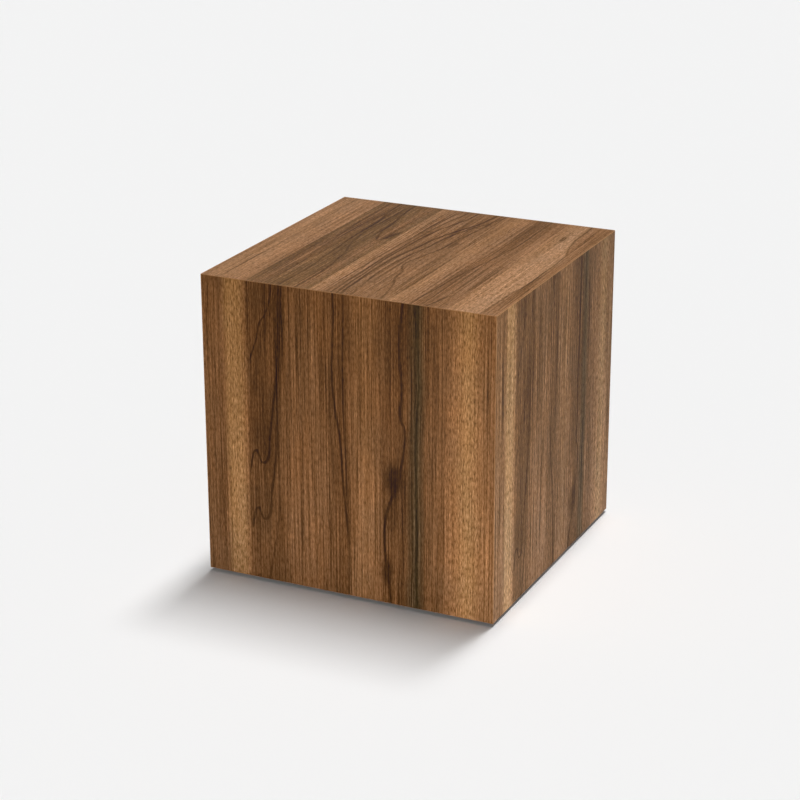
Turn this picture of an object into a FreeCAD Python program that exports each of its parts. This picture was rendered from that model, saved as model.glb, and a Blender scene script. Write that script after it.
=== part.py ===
import FreeCAD, Part
import math
import os

# Walnut cube cabinet. Five veneered boards are mitred into an open box, and a
# handle-less door closes the open side flush. The cube stands on a low black base
# set back from its faces, with four levelling feet inside it.
#
# Millimetres. The origin is on the floor under the cube's centre, +Z is up, -X is
# the door's side and +X the back. Seen from the door, -Y is right and +Y is left.

V = FreeCAD.Vector
X, Y, Z = V(1, 0, 0), V(0, 1, 0), V(0, 0, 1)

# ------------------------------------------------------------ driving dimensions
CUBE = 450.0                # outside edge of the cube
BOARD = 19.0                # finished board: core and both veneers
VENEER = 0.6                # walnut on each face of a board
LIPPING = 1.0               # walnut edging on the boards' front edges and round the door

DOOR_GAP = 2.0              # shadow gap round the door

BASE_HEIGHT = 4.5           # floor to the cube's underside
BASE_SETBACK = 13.5         # cube's face to the base's face
BASE_STRIP_WIDTH = 30.0
BASE_SCREW_SPACING = 220.0
BASE_SCREW_RECESS = 0.3     # screw heads stay this far above the floor

SPLINE_WIDTH = 12.0         # plywood tongue across each mitre
SPLINE_THICKNESS = 4.0
SPLINE_STOP = 45.0          # tongue's end to the cube's face

HINGE_AXIS_FROM_FACE = 6.5  # pivot axis behind the door's outer face
HINGE_AXIS_FROM_EDGE = 14.0  # pivot axis inside the door's hinge edge
LEAF_WIDTH = 9.0
LEAF_THICKNESS = 2.5
LEAF_BEYOND_AXIS = 6.0
LEAF_LENGTH = 60.0
LEAF_CORNER = 2.5
HINGE_PIN_RADIUS = 2.5
RUNNING_CLEARANCE = 0.05    # radial, a turning or sliding fit
WASHER_RADIUS = 4.4
WASHER_CLEARANCE = 0.1      # above and below the washer
HINGE_SCREWS_FROM_AXIS = (26.0, 46.0)

LATCH_FROM_DOOR_EDGE = 54.0  # plunger axis to the door's free edge
LATCH_LENGTH = 58.0
LATCH_BEHIND_DOOR = 10.0
LATCH_FLANGE = (34.0, 3.0)  # width, thickness
LATCH_BARREL = (16.0, 15.0)  # width, height
LATCH_SCREW_OFFSET = (18.0, 12.5)
PLUNGER_RADIUS = 4.8
PLUNGER_LENGTH = 36.8
PLUNGER_CLEARANCE = 0.08
COLLAR_RADIUS = 5.6
COLLAR_LENGTH = 4.0
CHAMBER_RADIUS = 5.9
CHAMBER_DEPTH = 10.0        # barrel's mouth to the collar's chamber
BARREL_END_WALL = 4.0
MAGNET_RADIUS = 4.0
MAGNET_LENGTH = 3.0
SPRING_RADII = (4.7, 3.9)   # outside and inside of the coil, whose turns are left out
SPRING_END_GAP = 0.05
STRIKE_SIZE = 18.0
STRIKE_THICKNESS = 1.0
STRIKE_GAP = 0.2

FOOT_INSET = 60.0           # foot's axis to the cube's faces
FOOT_CLEAR = 0.5            # sole to the floor while the foot is wound up
STUD_RADIUS = 4.0
STUD_TOP = 20.0
FLANGE_RADIUS = 12.0
FLANGE_THICKNESS = 1.2
SOLE_RADIUS = 13.0
SOLE_THICKNESS = 2.0
SOLE_NOTCHES = 16
SOLE_NOTCH_RADIUS = 0.9
INSERT_RADIUS = 6.0
INSERT_TOP = 20.5

# screw sizes: shank radius, length, head radius, head height
HINGE_SCREW = (1.5, 12.0, 2.9, 1.5)
BASE_SCREW = (1.75, 15.0, 3.4, 1.8)
LATCH_SCREW = (1.5, 14.0, 2.8, 1.5)
STRIKE_SCREW = (1.1, 9.0, 2.0, 0.9)
CROSS_RECESS = (0.6, 1.3)   # recess width and depth, as parts of the head's radius and height

# ------------------------------------------------------------- worked-out places
HALF = CUBE / 2
CENTRE = BASE_HEIGHT + HALF             # height of the cube's centre
CORE_FAR = BOARD - VENEER               # depth of a core's inner face
INNER = HALF - BOARD                    # half the compartment
DOOR_HALF = INNER - DOOR_GAP
DOOR_BACK = -HALF + BOARD
HINGE_X = -HALF + HINGE_AXIS_FROM_FACE
HINGE_Y = DOOR_HALF - HINGE_AXIS_FROM_EDGE
LATCH_Y = -DOOR_HALF + LATCH_FROM_DOOR_EDGE
LATCH_X = DOOR_BACK + LATCH_BEHIND_DOOR
LATCH_DROP = LATCH_FLANGE[1] + LATCH_BARREL[1] / 2
LATCH_Z = CENTRE + INNER - LATCH_DROP
PLUNGER_TIP = DOOR_BACK + STRIKE_THICKNESS + STRIKE_GAP
PLUNGER_END = PLUNGER_TIP + PLUNGER_LENGTH
CHAMBER_END = LATCH_X + LATCH_LENGTH - BARREL_END_WALL
FOOT_AT = HALF - FOOT_INSET

# The boards: direction along local X and direction of depth into the board.
BOARD_AXES = {
    "top": (X, -Z),
    "bottom": (X, Z),
    "right_side": (X, Y),
    "left_side": (X, -Y),
    "back": (Y, -X),
}
FRONT_EDGED = ("top", "bottom", "right_side", "left_side")

made = {}


# --------------------------------------------------------------------- helpers
def keep(name, shape):
    """Remember one finished sub-part under its own name."""
    made[name] = shape
    return shape


def box(x0, x1, y0, y1, z0, z1):
    """Box between two corners."""
    return Part.makeBox(x1 - x0, y1 - y0, z1 - z0, V(x0, y0, z0))


def rod(start, direction, length, radius):
    """Cylinder from a point along a direction."""
    return Part.makeCylinder(radius, length, start, direction)


def ring(start, direction, length, outer, inner):
    """Cylinder with a hole through it."""
    return rod(start, direction, length, outer).cut(rod(start, direction, length, inner))


def join(shapes):
    """Several touching solids as one."""
    return shapes[0].multiFuse(shapes[1:]).removeSplitter()


def group(shapes):
    """Separate solids that share one name."""
    return Part.makeCompound(shapes)


def mitred_slab(board, near, far, start=None, end=None):
    """The part of a board between two depths, its edges cut on the mitres.

    start and end are square cuts along the board's local X; None leaves a mitre.
    """
    along, depth = BOARD_AXES[board]
    low, high = HALF - near, HALF - far
    x_low, x_far_low = (-low, -high) if start is None else (start, start)
    x_high, x_far_high = (low, high) if end is None else (end, end)
    slab = Part.makeWedge(x_low, -low, -low, -high, x_far_low,
                          x_high, -high, low, high, x_far_high)
    turn = FreeCAD.Rotation(along, depth, along.cross(depth), "XYZ")
    slab.Placement = FreeCAD.Placement(V(0, 0, CENTRE), turn)
    return slab


def screw_blank(head, direction, size):
    """Countersunk screw without its cross recess; head is the centre of its flat face."""
    shank_radius, length, head_radius, head_height = size
    cone = Part.makeCone(head_radius, shank_radius, head_height, head, direction)
    shank = rod(head, direction, length, shank_radius)
    tip = Part.makeCone(shank_radius, shank_radius / 4, shank_radius * 2,
                        head + direction * length, direction)
    return join([cone, shank, tip])


def screw(head, direction, size):
    """Countersunk screw with a cross recess in its head."""
    arm = size[2] * CROSS_RECESS[0]
    slot = arm / 3
    deep = size[3] * CROSS_RECESS[1]
    turn = FreeCAD.Rotation(Z, direction)
    blank = screw_blank(head, direction, size)
    for half_x, half_y in ((arm, slot), (slot, arm)):
        recess = box(-half_x, half_x, -half_y, half_y, 0, deep)
        recess.Placement = FreeCAD.Placement(head, turn)
        blank = blank.cut(recess)
    return blank


# --------------------------------------------------------------------- fastenings
def hinge_leaf(side, door_leaf):
    """Leaf of a pivot hinge, let into the door's edge or the board facing it.

    side is +1 at the top and -1 at the bottom.
    """
    near = DOOR_HALF - LEAF_THICKNESS if door_leaf else INNER
    z_one = CENTRE + side * near
    z_two = CENTRE + side * (near + LEAF_THICKNESS)
    y_high = HINGE_Y + LEAF_BEYOND_AXIS
    leaf = box(HINGE_X - LEAF_WIDTH / 2, HINGE_X + LEAF_WIDTH / 2,
               y_high - LEAF_LENGTH, y_high, min(z_one, z_two), max(z_one, z_two))
    upright = [e for e in leaf.Edges if abs(e.tangentAt(e.FirstParameter).z) > 0.9]
    return leaf.makeFillet(LEAF_CORNER, upright)


def hinge_screw_heads(side, door_leaf):
    """Head centres of a leaf's screws, and the way they drive."""
    height = CENTRE + side * (DOOR_HALF if door_leaf else INNER)
    direction = Z * (-side if door_leaf else side)
    heads = [V(HINGE_X, HINGE_Y - along, height) for along in HINGE_SCREWS_FROM_AXIS]
    return heads, direction


def base_screw_heads():
    """Head centres of the screws that hold the four base strips."""
    middle = HALF - BASE_SETBACK - BASE_STRIP_WIDTH / 2
    along = BASE_SCREW_SPACING / 2
    heads = []
    for sign in (-1, 1):
        for other in (-along, along):
            heads.append(V(sign * middle, other, BASE_SCREW_RECESS))
            heads.append(V(other, sign * middle, BASE_SCREW_RECESS))
    return heads


def latch_screw_heads():
    """Head centres of the two screws in the latch's flange."""
    middle = LATCH_X + LATCH_LENGTH / 2
    low = CENTRE + INNER - LATCH_FLANGE[1]
    along, across = LATCH_SCREW_OFFSET
    return [V(middle + along, LATCH_Y + across, low), V(middle - along, LATCH_Y - across, low)]


def strike_screw_heads():
    """Head centres of the two screws in the door's strike plate."""
    face = DOOR_BACK + STRIKE_THICKNESS
    reach = STRIKE_SIZE / 2 + 3.5
    return [V(face, LATCH_Y - reach, LATCH_Z), V(face, LATCH_Y + reach, LATCH_Z)]


def foot_places():
    """Name and axis of each levelling foot."""
    return {
        "door_right": V(-FOOT_AT, -FOOT_AT, 0),
        "door_left": V(-FOOT_AT, FOOT_AT, 0),
        "back_right": V(FOOT_AT, -FOOT_AT, 0),
        "back_left": V(FOOT_AT, FOOT_AT, 0),
    }


def mitre_corners():
    """Each mitred edge: which group, its direction, and the way out to its arris."""
    corners = []
    for up in (-1, 1):
        for side in (-1, 1):
            corners.append(("side", X, Y * side + Z * up))
    for sign in (-1, 1):
        corners.append(("back", Y, X + Z * sign))
        corners.append(("back", Z, X + Y * sign))
    return corners


def mitre_spline(edge, outward):
    """Plywood tongue let into both faces of one mitre."""
    across = outward.cross(edge)
    across.normalize()
    length = CUBE - 2 * SPLINE_STOP
    tongue = Part.makeBox(length, SPLINE_WIDTH, SPLINE_THICKNESS,
                          V(-length / 2, -SPLINE_WIDTH / 2, -SPLINE_THICKNESS / 2))
    turn = FreeCAD.Rotation(edge, across, edge.cross(across), "XYZ")
    middle = outward * (HALF - BOARD / 2) + V(0, 0, CENTRE)
    tongue.Placement = FreeCAD.Placement(middle, turn)
    return tongue


# ------------------------------------------------------------------------ cabinet
def make_splines():
    """Tongues of the side mitres and of the back panel's mitres."""
    tongues = {"side": [], "back": []}
    for name, edge, outward in mitre_corners():
        tongues[name].append(mitre_spline(edge, outward))
    keep("side_mitre_splines", group(tongues["side"]))
    keep("back_mitre_splines", group(tongues["back"]))
    return tongues["side"] + tongues["back"]


def board_recesses(board):
    """What is let into one board from its faces: hinge leaves, screws, inserts."""
    tools = []
    if board in ("top", "bottom"):
        side = 1 if board == "top" else -1
        heads, direction = hinge_screw_heads(side, False)
        tools.append(hinge_leaf(side, False))
        tools += [screw_blank(head, direction, HINGE_SCREW) for head in heads]
    if board == "top":
        tools += [screw_blank(head, Z, LATCH_SCREW) for head in latch_screw_heads()]
    if board == "bottom":
        tools += [screw_blank(head, Z, BASE_SCREW) for head in base_screw_heads()]
        tools += [rod(at, Z, INSERT_TOP, INSERT_RADIUS) for at in foot_places().values()]
    return tools


def make_board(board, splines):
    """One carcass board: core, outer veneer, inner veneer and front lipping."""
    front = -HALF if board in FRONT_EDGED else None
    core_front = -HALF + LIPPING if board in FRONT_EDGED else None
    tools = board_recesses(board)
    parts = {
        "core": mitred_slab(board, VENEER, CORE_FAR, core_front).cut(splines),
        "outer_veneer": mitred_slab(board, 0, VENEER, front),
        "inner_veneer": mitred_slab(board, CORE_FAR, BOARD, front),
    }
    for layer, solid in parts.items():
        keep(board + "_" + layer, solid.cut(tools) if tools else solid)
    if board in FRONT_EDGED:
        keep(board + "_lipping", mitred_slab(board, VENEER, CORE_FAR, front, core_front))


def make_base():
    """Four mitred black strips under the cube, and the screws that hold them."""
    outer = HALF - BASE_SETBACK
    inner = outer - BASE_STRIP_WIDTH
    blanks = [screw_blank(head, Z, BASE_SCREW) for head in base_screw_heads()]
    bores = [rod(head - Z, Z, 1, BASE_SCREW[2]) for head in base_screw_heads()]
    turns = {"front": 0, "right": 90, "back": 180, "left": 270}
    for name, angle in turns.items():
        corners = [V(-outer, -outer, 0), V(-outer, outer, 0), V(-inner, inner, 0), V(-inner, -inner, 0)]
        outline = Part.makePolygon(corners + corners[:1])
        strip = Part.Face(outline).extrude(Z * BASE_HEIGHT)
        strip.rotate(V(0, 0, 0), Z, angle)
        keep("base_strip_" + name, strip.cut(blanks + bores))
    keep("base_screws", group([screw(head, Z, BASE_SCREW) for head in base_screw_heads()]))


# --------------------------------------------------------------------------- door
def make_door():
    """Flush door: core, two veneers and a lipping on each edge."""
    face = -HALF
    core_half = DOOR_HALF - LIPPING
    core_front, core_back = face + VENEER, DOOR_BACK - VENEER
    tools = []
    for side in (-1, 1):
        heads, direction = hinge_screw_heads(side, True)
        tools.append(hinge_leaf(side, True))
        tools.append(rod(V(HINGE_X, HINGE_Y, CENTRE + side * (DOOR_HALF - LEAF_THICKNESS - 1)),
                         Z * side, 2, HINGE_PIN_RADIUS + RUNNING_CLEARANCE))
        tools += [screw_blank(head, direction, HINGE_SCREW) for head in heads]
    tools += [screw_blank(head, -X, STRIKE_SCREW) for head in strike_screw_heads()]

    def layer(x0, x1, half_y, half_z):
        return box(x0, x1, -half_y, half_y, CENTRE - half_z, CENTRE + half_z)

    keep("door_core", layer(core_front, core_back, core_half, core_half).cut(tools))
    keep("door_outer_veneer", layer(face, core_front, DOOR_HALF, DOOR_HALF))
    keep("door_inner_veneer", layer(core_back, DOOR_BACK, DOOR_HALF, DOOR_HALF).cut(tools))
    for name, side in (("top", 1), ("bottom", -1)):
        z_one, z_two = CENTRE + side * core_half, CENTRE + side * DOOR_HALF
        strip = box(core_front, core_back, -DOOR_HALF, DOOR_HALF, min(z_one, z_two), max(z_one, z_two))
        keep("door_lipping_" + name, strip.cut(tools))
    for name, side in (("hinge_edge", 1), ("free_edge", -1)):
        y_low = min(side * core_half, side * DOOR_HALF)
        keep("door_lipping_" + name,
             box(core_front, core_back, y_low, y_low + LIPPING, CENTRE - core_half, CENTRE + core_half))


def make_hinge(name, side):
    """Pivot hinge at the door's top or bottom: two leaves, a pin and a washer."""
    heads, direction = hinge_screw_heads(side, False)
    frame_screws = [screw_blank(head, direction, HINGE_SCREW) for head in heads]
    door_heads, door_direction = hinge_screw_heads(side, True)
    door_screws = [screw_blank(head, door_direction, HINGE_SCREW) for head in door_heads]
    axis_end = V(HINGE_X, HINGE_Y, CENTRE + side * (INNER + LEAF_THICKNESS))
    reach = 2 * LEAF_THICKNESS + DOOR_GAP
    pin = rod(axis_end, Z * -side, reach, HINGE_PIN_RADIUS)
    eye = rod(axis_end, Z * -side, reach + 1, HINGE_PIN_RADIUS + RUNNING_CLEARANCE)
    washer_start = V(HINGE_X, HINGE_Y, CENTRE + side * (DOOR_HALF + WASHER_CLEARANCE))
    keep("hinge_" + name + "_frame_leaf", hinge_leaf(side, False).cut(frame_screws + [pin]))
    keep("hinge_" + name + "_door_leaf", hinge_leaf(side, True).cut(door_screws + [eye]))
    keep("hinge_" + name + "_pin", pin)
    keep("hinge_" + name + "_washer",
         ring(washer_start, Z * side, DOOR_GAP - 2 * WASHER_CLEARANCE,
              WASHER_RADIUS, HINGE_PIN_RADIUS + RUNNING_CLEARANCE))


def make_hinge_screws():
    """Screws of the leaves in the boards, and of the leaves in the door."""
    for name, door_leaf in (("hinge_frame_screws", False), ("hinge_door_screws", True)):
        screws = []
        for side in (-1, 1):
            heads, direction = hinge_screw_heads(side, door_leaf)
            screws += [screw(head, direction, HINGE_SCREW) for head in heads]
        keep(name, group(screws))


# -------------------------------------------------------------------------- latch
def make_latch():
    """Push latch under the top board: barrel, plunger, magnet and spring.

    The spring is the plain sleeve that its coil fills.
    """
    under = CENTRE + INNER
    end = LATCH_X + LATCH_LENGTH
    flange_width, flange_thickness = LATCH_FLANGE
    barrel_width, barrel_height = LATCH_BARREL
    flange = box(LATCH_X, end, LATCH_Y - flange_width / 2, LATCH_Y + flange_width / 2,
                 under - flange_thickness, under)
    barrel = box(LATCH_X, end, LATCH_Y - barrel_width / 2, LATCH_Y + barrel_width / 2,
                 under - flange_thickness - barrel_height, under - flange_thickness)
    lower = [e for e in barrel.Edges if abs(e.tangentAt(e.FirstParameter).x) > 0.9
             and e.CenterOfMass.z < LATCH_Z]
    barrel = barrel.makeFillet(3.0, lower)
    mouth = V(LATCH_X, LATCH_Y, LATCH_Z)
    chamber_start = mouth + X * CHAMBER_DEPTH
    bore = rod(mouth, X, CHAMBER_DEPTH, PLUNGER_RADIUS + PLUNGER_CLEARANCE)
    chamber = rod(chamber_start, X, CHAMBER_END - chamber_start.x, CHAMBER_RADIUS)
    screws = [screw_blank(head, Z, LATCH_SCREW) for head in latch_screw_heads()]
    keep("latch_housing", join([flange, barrel]).cut([bore, chamber] + screws))

    tip = V(PLUNGER_TIP, LATCH_Y, LATCH_Z)
    collar_start = V(PLUNGER_END - COLLAR_LENGTH, LATCH_Y, LATCH_Z)
    plunger = join([rod(tip, X, PLUNGER_LENGTH, PLUNGER_RADIUS),
                    rod(collar_start, X, COLLAR_LENGTH, COLLAR_RADIUS)])
    keep("latch_plunger", plunger.cut(rod(tip, X, MAGNET_LENGTH, MAGNET_RADIUS)))
    keep("latch_magnet", rod(tip, X, MAGNET_LENGTH, MAGNET_RADIUS))
    spring_start = V(PLUNGER_END + SPRING_END_GAP, LATCH_Y, LATCH_Z)
    spring_length = CHAMBER_END - PLUNGER_END - 2 * SPRING_END_GAP
    keep("latch_spring", ring(spring_start, X, spring_length, *SPRING_RADII))
    keep("latch_screws", group([screw(head, Z, LATCH_SCREW) for head in latch_screw_heads()]))


def make_strike():
    """Steel plate on the door's inner face that the magnet holds, and its screws."""
    reach = STRIKE_SIZE / 2 + 7.0
    plate = box(DOOR_BACK, DOOR_BACK + STRIKE_THICKNESS, LATCH_Y - reach, LATCH_Y + reach,
                LATCH_Z - STRIKE_SIZE / 2, LATCH_Z + STRIKE_SIZE / 2)
    corners = [e for e in plate.Edges if abs(e.tangentAt(e.FirstParameter).x) > 0.9]
    blanks = [screw_blank(head, -X, STRIKE_SCREW) for head in strike_screw_heads()]
    keep("strike_plate", plate.makeFillet(2.0, corners).cut(blanks))
    keep("strike_screws", group([screw(head, -X, STRIKE_SCREW) for head in strike_screw_heads()]))


# --------------------------------------------------------------------------- feet
def make_feet():
    """Levelling feet: a steel stud and flange on a notched plastic sole."""
    flange_low = FOOT_CLEAR + SOLE_THICKNESS
    flange_high = flange_low + FLANGE_THICKNESS
    inserts = []
    for name, at in foot_places().items():
        stud = rod(at + Z * flange_high, Z, STUD_TOP - flange_high, STUD_RADIUS)
        flange = rod(at + Z * flange_low, Z, FLANGE_THICKNESS, FLANGE_RADIUS)
        sole = rod(at + Z * FOOT_CLEAR, Z, SOLE_THICKNESS, SOLE_RADIUS)
        notches = []
        for step in range(SOLE_NOTCHES):
            angle = 2 * math.pi * step / SOLE_NOTCHES
            rim = V(math.cos(angle), math.sin(angle), 0) * SOLE_RADIUS
            notches.append(rod(at + rim, Z, BASE_HEIGHT, SOLE_NOTCH_RADIUS))
        keep("foot_stud_" + name, join([stud, flange]))
        keep("foot_sole_" + name, sole.cut(notches))
        inserts.append(ring(at + Z * BASE_HEIGHT, Z, INSERT_TOP - BASE_HEIGHT,
                            INSERT_RADIUS, STUD_RADIUS + RUNNING_CLEARANCE))
    keep("foot_inserts", group(inserts))


def write_parts():
    """Write one STEP file for each sub-part."""
    os.makedirs("parts", exist_ok=True)
    for name, shape in made.items():
        if not shape.isValid():
            raise ValueError(name + " is not a valid solid")
        shape.exportStep("parts/" + name + ".step")
    print(len(made), "sub-parts written")


tongues = make_splines()
for board in BOARD_AXES:
    make_board(board, tongues)
make_base()
make_door()
make_hinge("top", 1)
make_hinge("bottom", -1)
make_hinge_screws()
make_latch()
make_strike()
make_feet()
write_parts()
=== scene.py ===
import math

import bpy
from mathutils import Matrix, Vector


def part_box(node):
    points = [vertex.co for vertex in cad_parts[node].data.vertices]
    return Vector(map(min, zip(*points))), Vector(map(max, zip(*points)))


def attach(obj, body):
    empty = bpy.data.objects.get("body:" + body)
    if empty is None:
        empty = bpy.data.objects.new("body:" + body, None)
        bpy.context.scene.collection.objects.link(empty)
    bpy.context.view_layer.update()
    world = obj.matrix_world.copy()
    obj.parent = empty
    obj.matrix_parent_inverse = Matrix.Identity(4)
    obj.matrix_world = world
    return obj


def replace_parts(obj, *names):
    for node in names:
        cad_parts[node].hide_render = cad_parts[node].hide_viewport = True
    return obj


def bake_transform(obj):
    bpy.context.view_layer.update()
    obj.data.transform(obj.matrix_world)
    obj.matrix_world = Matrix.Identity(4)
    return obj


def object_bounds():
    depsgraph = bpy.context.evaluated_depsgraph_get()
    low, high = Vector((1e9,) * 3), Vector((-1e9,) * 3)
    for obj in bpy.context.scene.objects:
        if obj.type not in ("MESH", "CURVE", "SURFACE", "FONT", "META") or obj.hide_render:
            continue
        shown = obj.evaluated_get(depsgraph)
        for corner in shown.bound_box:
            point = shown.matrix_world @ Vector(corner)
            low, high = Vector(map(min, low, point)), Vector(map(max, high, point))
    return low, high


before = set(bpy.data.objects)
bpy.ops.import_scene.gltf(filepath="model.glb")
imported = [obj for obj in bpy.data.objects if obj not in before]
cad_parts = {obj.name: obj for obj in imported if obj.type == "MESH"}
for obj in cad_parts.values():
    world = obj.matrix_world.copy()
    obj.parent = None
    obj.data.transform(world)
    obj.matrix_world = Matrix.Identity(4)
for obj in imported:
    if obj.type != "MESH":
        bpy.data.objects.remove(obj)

# Walnut cube cabinet: a veneered, mitred cube on a set-back black base, with a flush
# push-to-open door on its -X side. Metres; the frame is the CAD model's own.

CAD_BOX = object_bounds()
FLOOR_Z = CAD_BOX[0].z
BODY_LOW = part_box("bottom_outer_veneer")[0]
BODY_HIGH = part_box("top_outer_veneer")[1]
EDGE = BODY_HIGH.x - BODY_LOW.x     # one edge of the cube
MM = 0.001


# =============================================================== node shorthand
class Recipe:
    """Adds shader nodes to one tree; each call gives back the socket it ends in."""

    def __init__(self, tree):
        self.tree = tree

    def add(self, kind, inputs=None, **settings):
        made = self.tree.nodes.new("ShaderNode" + kind)
        for key, value in settings.items():
            setattr(made, key, value)
        for key, value in (inputs or {}).items():
            if isinstance(value, bpy.types.NodeSocket):
                self.tree.links.new(value, made.inputs[key])
            else:
                made.inputs[key].default_value = value
        return made

    def maths(self, operation, *values):
        return self.add("Math", dict(enumerate(values)), operation=operation).outputs[0]

    def between(self, value, low, high, new_low=0.0, new_high=1.0, smooth=False):
        inputs = {0: value, 1: low, 2: high, 3: new_low, 4: new_high}
        style = "SMOOTHSTEP" if smooth else "LINEAR"
        return self.add("MapRange", inputs, clamp=True, interpolation_type=style).outputs[0]

    def place(self, x, y, z=0.0):
        return self.add("CombineXYZ", {0: x, 1: y, 2: z}).outputs[0]

    def noise(self, vector, scale=1.0, detail=2.0, roughness=0.5):
        inputs = {"Vector": vector, "Scale": scale, "Detail": detail, "Roughness": roughness}
        return self.add("TexNoise", inputs).outputs["Fac"]

    def line_noise(self, value, detail=1.0):
        inputs = {"W": value, "Scale": 1.0, "Detail": detail}
        return self.add("TexNoise", inputs, noise_dimensions="1D").outputs["Fac"]

    def ramp(self, value, stops):
        made = self.add("ValToRGB", {0: value})
        elements = made.color_ramp.elements
        elements[0].position, elements[1].position = stops[0][0], stops[-1][0]
        for position, colour in stops[1:-1]:
            elements.new(position)
        for element, (position, colour) in zip(elements, stops):
            element.color = (*colour, 1.0)
        return made.outputs["Color"]

    def curve(self, value, points, low=0.0, high=1.0):
        """A drawn curve through a few points, flat beyond its ends."""
        span = self.between(value, low, high)
        made = self.add("FloatCurve", {"Value": span})
        mapping = made.mapping
        mapping.use_clip = False
        drawn = mapping.curves[0].points
        for spot in points[1:-1]:
            drawn.new(0.5, 0.5)
        for point, (along, height) in zip(drawn, points):
            point.location = ((along - low) / (high - low), height)
            point.handle_type = "AUTO"
        mapping.update()
        return made.outputs["Value"]

    def mix(self, factor, first, second, blend="MIX"):
        inputs = {0: factor, 6: first, 7: second}
        return self.add("Mix", inputs, data_type="RGBA", blend_type=blend).outputs[2]

    def tinted(self, colour, tint, share=1.0):
        return self.mix(share, colour, opaque(tint), "MULTIPLY")

    def scaled(self, colour, factor):
        return self.add("VectorMath", {0: colour, "Scale": factor}, operation="SCALE").outputs[0]

    def off(self, value, middle):
        return self.maths("SUBTRACT", value, middle)

    def apart(self, value, middle):
        return self.maths("ABSOLUTE", self.off(value, middle))

    def stretched(self, across, fast, along, slow, layer):
        """Noise coordinates that change fast across the grain and slowly along it."""
        return self.place(self.maths("MULTIPLY", across, fast), self.maths("MULTIPLY", along, slow), layer)


def paint(red, green, blue):
    """A colour as seen on a screen, 0 to 255, as the light it stands for."""
    def channel(value):
        share = value / 255
        return share / 12.92 if share <= 0.04045 else ((share + 0.055) / 1.055) ** 2.4
    return channel(red), channel(green), channel(blue)


def opaque(colour):
    return (*colour, 1.0)


def new_group(name, inputs, outputs):
    """A node group of number sockets, with colours where a name ends in Colour."""
    tree = bpy.data.node_groups.new(name, "ShaderNodeTree")
    for names, way in ((inputs, "INPUT"), (outputs, "OUTPUT")):
        for socket in names:
            kind = "NodeSocketColor" if socket.endswith("Colour") else "NodeSocketFloat"
            tree.interface.new_socket(socket, in_out=way, socket_type=kind)
    recipe = Recipe(tree)
    entry = tree.nodes.new("NodeGroupInput")
    end = tree.nodes.new("NodeGroupOutput")
    return tree, recipe, entry.outputs, end.inputs


# =================================================================== the walnut
# Places on a leaf are shares of its width: across from its left edge, along from its
# top edge downwards. A leaf is as wide as the cube.
LEAF_TOP, LEAF_END = -1.0, 1.2      # the stretch of a leaf that the drawn curves cover

# the tones that walnut of this kind runs through, palest first
HONEY, AMBER, TAWNY, NUT = (145, 105, 65), (140, 100, 65), (130, 90, 55), (120, 82, 50)
CHESTNUT, UMBER, PEAT, SMOKE = (112, 76, 45), (105, 70, 40), (95, 65, 35), (95, 75, 50)

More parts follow.
